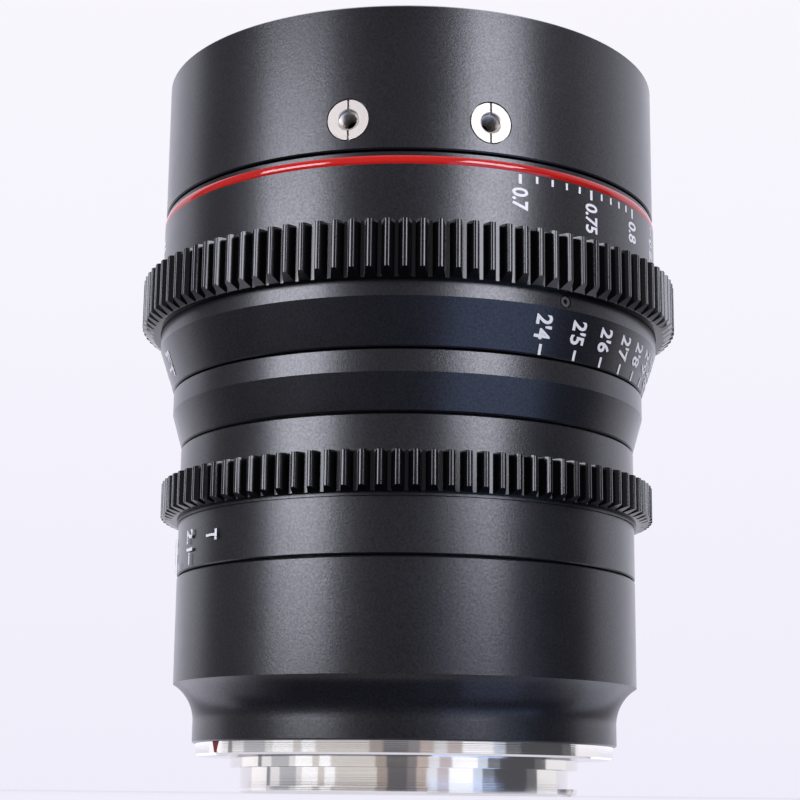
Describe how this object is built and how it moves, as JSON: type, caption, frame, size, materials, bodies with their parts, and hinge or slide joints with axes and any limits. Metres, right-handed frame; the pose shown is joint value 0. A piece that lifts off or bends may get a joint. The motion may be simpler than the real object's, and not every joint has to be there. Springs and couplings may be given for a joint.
{
  "type": "cine prime lens",
  "caption": "Cine prime lens with geared focus and iris rings, a sliding glass carrier, a leaf iris, a lug bayonet and accessory inserts.",
  "frame": {"origin": "centre of the flange face, on the optical axis", "axes": "+Z along the optical axis towards the front of the lens; the accessory inserts face -Y and the index lines face -X"},
  "size_m": [0.0864, 0.0864, 0.114],
  "materials": {
    "barrel_black": "satin black anodised",
    "gear_black": "gloss black anodised",
    "accent_red": "gloss red anodised",
    "index_red": "gloss",
    "mount_chrome": "polished",
    "insert_nickel": "bright nickel",
    "baffle_black": "matte black",
    "tube_grey": "satin anodised",
    "bearing_brass": "machined",
    "washer_black": "matte",
    "screw_steel": "machined",
    "pin_steel": "ground",
    "blade_steel": "matte black",
    "coated_glass": "coated"
  },
  "bodies": {
    "barrel": {"bayonet_mount": "mount_chrome", "mount_screws": "screw_steel", "mount_index": "index_red", "rear_baffle": "baffle_black", "rear_barrel": "barrel_black", "barrel_screws": "screw_steel", "main_tube": "tube_grey", "guide_keys": "bearing_brass", "iris_thrust_washers": "washer_black", "middle_barrel": "barrel_black", "focus_thrust_washers": "washer_black", "helicoid_retainer": "tube_grey", "front_ring": "barrel_black", "front_baffle": "baffle_black", "accessory_inserts": "insert_nickel"},
    "focus": {"focus_ring": "barrel_black", "focus_gear": "gear_black", "accent_ring": "accent_red", "focus_set_screws": "screw_steel", "focus_drive_pin": "pin_steel", "helicoid_ring": "bearing_brass"},
    "carrier": {"lens_carrier": "tube_grey", "name_ring": "baffle_black", "front_glass": "coated_glass", "front_spacer": "baffle_black", "second_glass": "coated_glass", "middle_spacer": "baffle_black", "third_glass": "coated_glass", "inner_spacer": "baffle_black", "fourth_glass": "coated_glass", "iris_base_plate": "tube_grey", "iris_retaining_ring": "tube_grey", "rear_cell": "baffle_black", "cell_screws": "screw_steel", "inner_retaining_ring": "tube_grey", "fifth_glass": "coated_glass", "sixth_glass": "coated_glass", "rear_spacer": "baffle_black", "rear_glass": "coated_glass", "rear_retaining_ring": "baffle_black"},
    "iris": {"iris_ring": "barrel_black", "iris_gear": "gear_black", "iris_drive_pin": "pin_steel"},
    "iris_cam": {"iris_cam_ring": "bearing_brass"},
    "blade_1": {"aperture_blade_1": "blade_steel"},
    "blade_2": {"aperture_blade_2": "blade_steel"},
    "blade_3": {"aperture_blade_3": "blade_steel"},
    "blade_4": {"aperture_blade_4": "blade_steel"},
    "blade_5": {"aperture_blade_5": "blade_steel"},
    "blade_6": {"aperture_blade_6": "blade_steel"},
    "blade_7": {"aperture_blade_7": "blade_steel"},
    "blade_8": {"aperture_blade_8": "blade_steel"},
    "blade_9": {"aperture_blade_9": "blade_steel"}
  },
  "joints": [
    {"name": "focus_turn", "type": "hinge", "parent": "barrel", "child": "focus", "pos_m": [0, 0, 0], "axis": [0, 0, 1], "range_deg": [0, 246.5]},
    {"name": "carrier_slide", "type": "slide", "parent": "barrel", "child": "carrier", "axis": [0, 0, 1], "range_m": [0, 0.00421]},
    {"name": "iris_turn", "type": "hinge", "parent": "barrel", "child": "iris", "pos_m": [0, 0, 0], "axis": [0, 0, 1], "range_deg": [-26, 44]},
    {"name": "cam_turn", "type": "hinge", "parent": "carrier", "child": "iris_cam", "pos_m": [0, 0, 0], "axis": [0, 0, 1], "range_deg": [-26.1, 44.1]},
    {"name": "blade_1_swing", "type": "hinge", "parent": "carrier", "child": "blade_1", "pos_m": [0, -0.02, 0.04], "axis": [0, 0, 1], "range_deg": [-12.25, 20.7]},
    {"name": "blade_2_swing", "type": "hinge", "parent": "carrier", "child": "blade_2", "pos_m": [0.01286, -0.01532, 0.04], "axis": [0, 0, 1], "range_deg": [-12.25, 20.7]},
    {"name": "blade_3_swing", "type": "hinge", "parent": "carrier", "child": "blade_3", "pos_m": [0.0197, -0.00347, 0.04], "axis": [0, 0, 1], "range_deg": [-12.25, 20.7]},
    {"name": "blade_4_swing", "type": "hinge", "parent": "carrier", "child": "blade_4", "pos_m": [0.01732, 0.01, 0.04], "axis": [0, 0, 1], "range_deg": [-12.25, 20.7]},
    {"name": "blade_5_swing", "type": "hinge", "parent": "carrier", "child": "blade_5", "pos_m": [0.00684, 0.01879, 0.04], "axis": [0, 0, 1], "range_deg": [-12.25, 20.7]},
    {"name": "blade_6_swing", "type": "hinge", "parent": "carrier", "child": "blade_6", "pos_m": [-0.00684, 0.01879, 0.04], "axis": [0, 0, 1], "range_deg": [-12.25, 20.7]},
    {"name": "blade_7_swing", "type": "hinge", "parent": "carrier", "child": "blade_7", "pos_m": [-0.01732, 0.01, 0.04], "axis": [0, 0, 1], "range_deg": [-12.25, 20.7]},
    {"name": "blade_8_swing", "type": "hinge", "parent": "carrier", "child": "blade_8", "pos_m": [-0.0197, -0.00347, 0.04], "axis": [0, 0, 1], "range_deg": [-12.25, 20.7]},
    {"name": "blade_9_swing", "type": "hinge", "parent": "carrier", "child": "blade_9", "pos_m": [-0.01286, -0.01532, 0.04], "axis": [0, 0, 1], "range_deg": [-12.25, 20.7]}
  ],
  "couplings": [
    {"joint": "carrier_slide", "follows": "focus_turn", "m_per_rad": 0.00097624},
    {"joint": "cam_turn", "follows": "iris_turn", "ratio": 1},
    {"joint": "blade_1_swing", "follows": "iris_turn", "ratio": 0.46857},
    {"joint": "blade_2_swing", "follows": "iris_turn", "ratio": 0.46857},
    {"joint": "blade_3_swing", "follows": "iris_turn", "ratio": 0.46857},
    {"joint": "blade_4_swing", "follows": "iris_turn", "ratio": 0.46857},
    {"joint": "blade_5_swing", "follows": "iris_turn", "ratio": 0.46857},
    {"joint": "blade_6_swing", "follows": "iris_turn", "ratio": 0.46857},
    {"joint": "blade_7_swing", "follows": "iris_turn", "ratio": 0.46857},
    {"joint": "blade_8_swing", "follows": "iris_turn", "ratio": 0.46857},
    {"joint": "blade_9_swing", "follows": "iris_turn", "ratio": 0.46857}
  ]
}
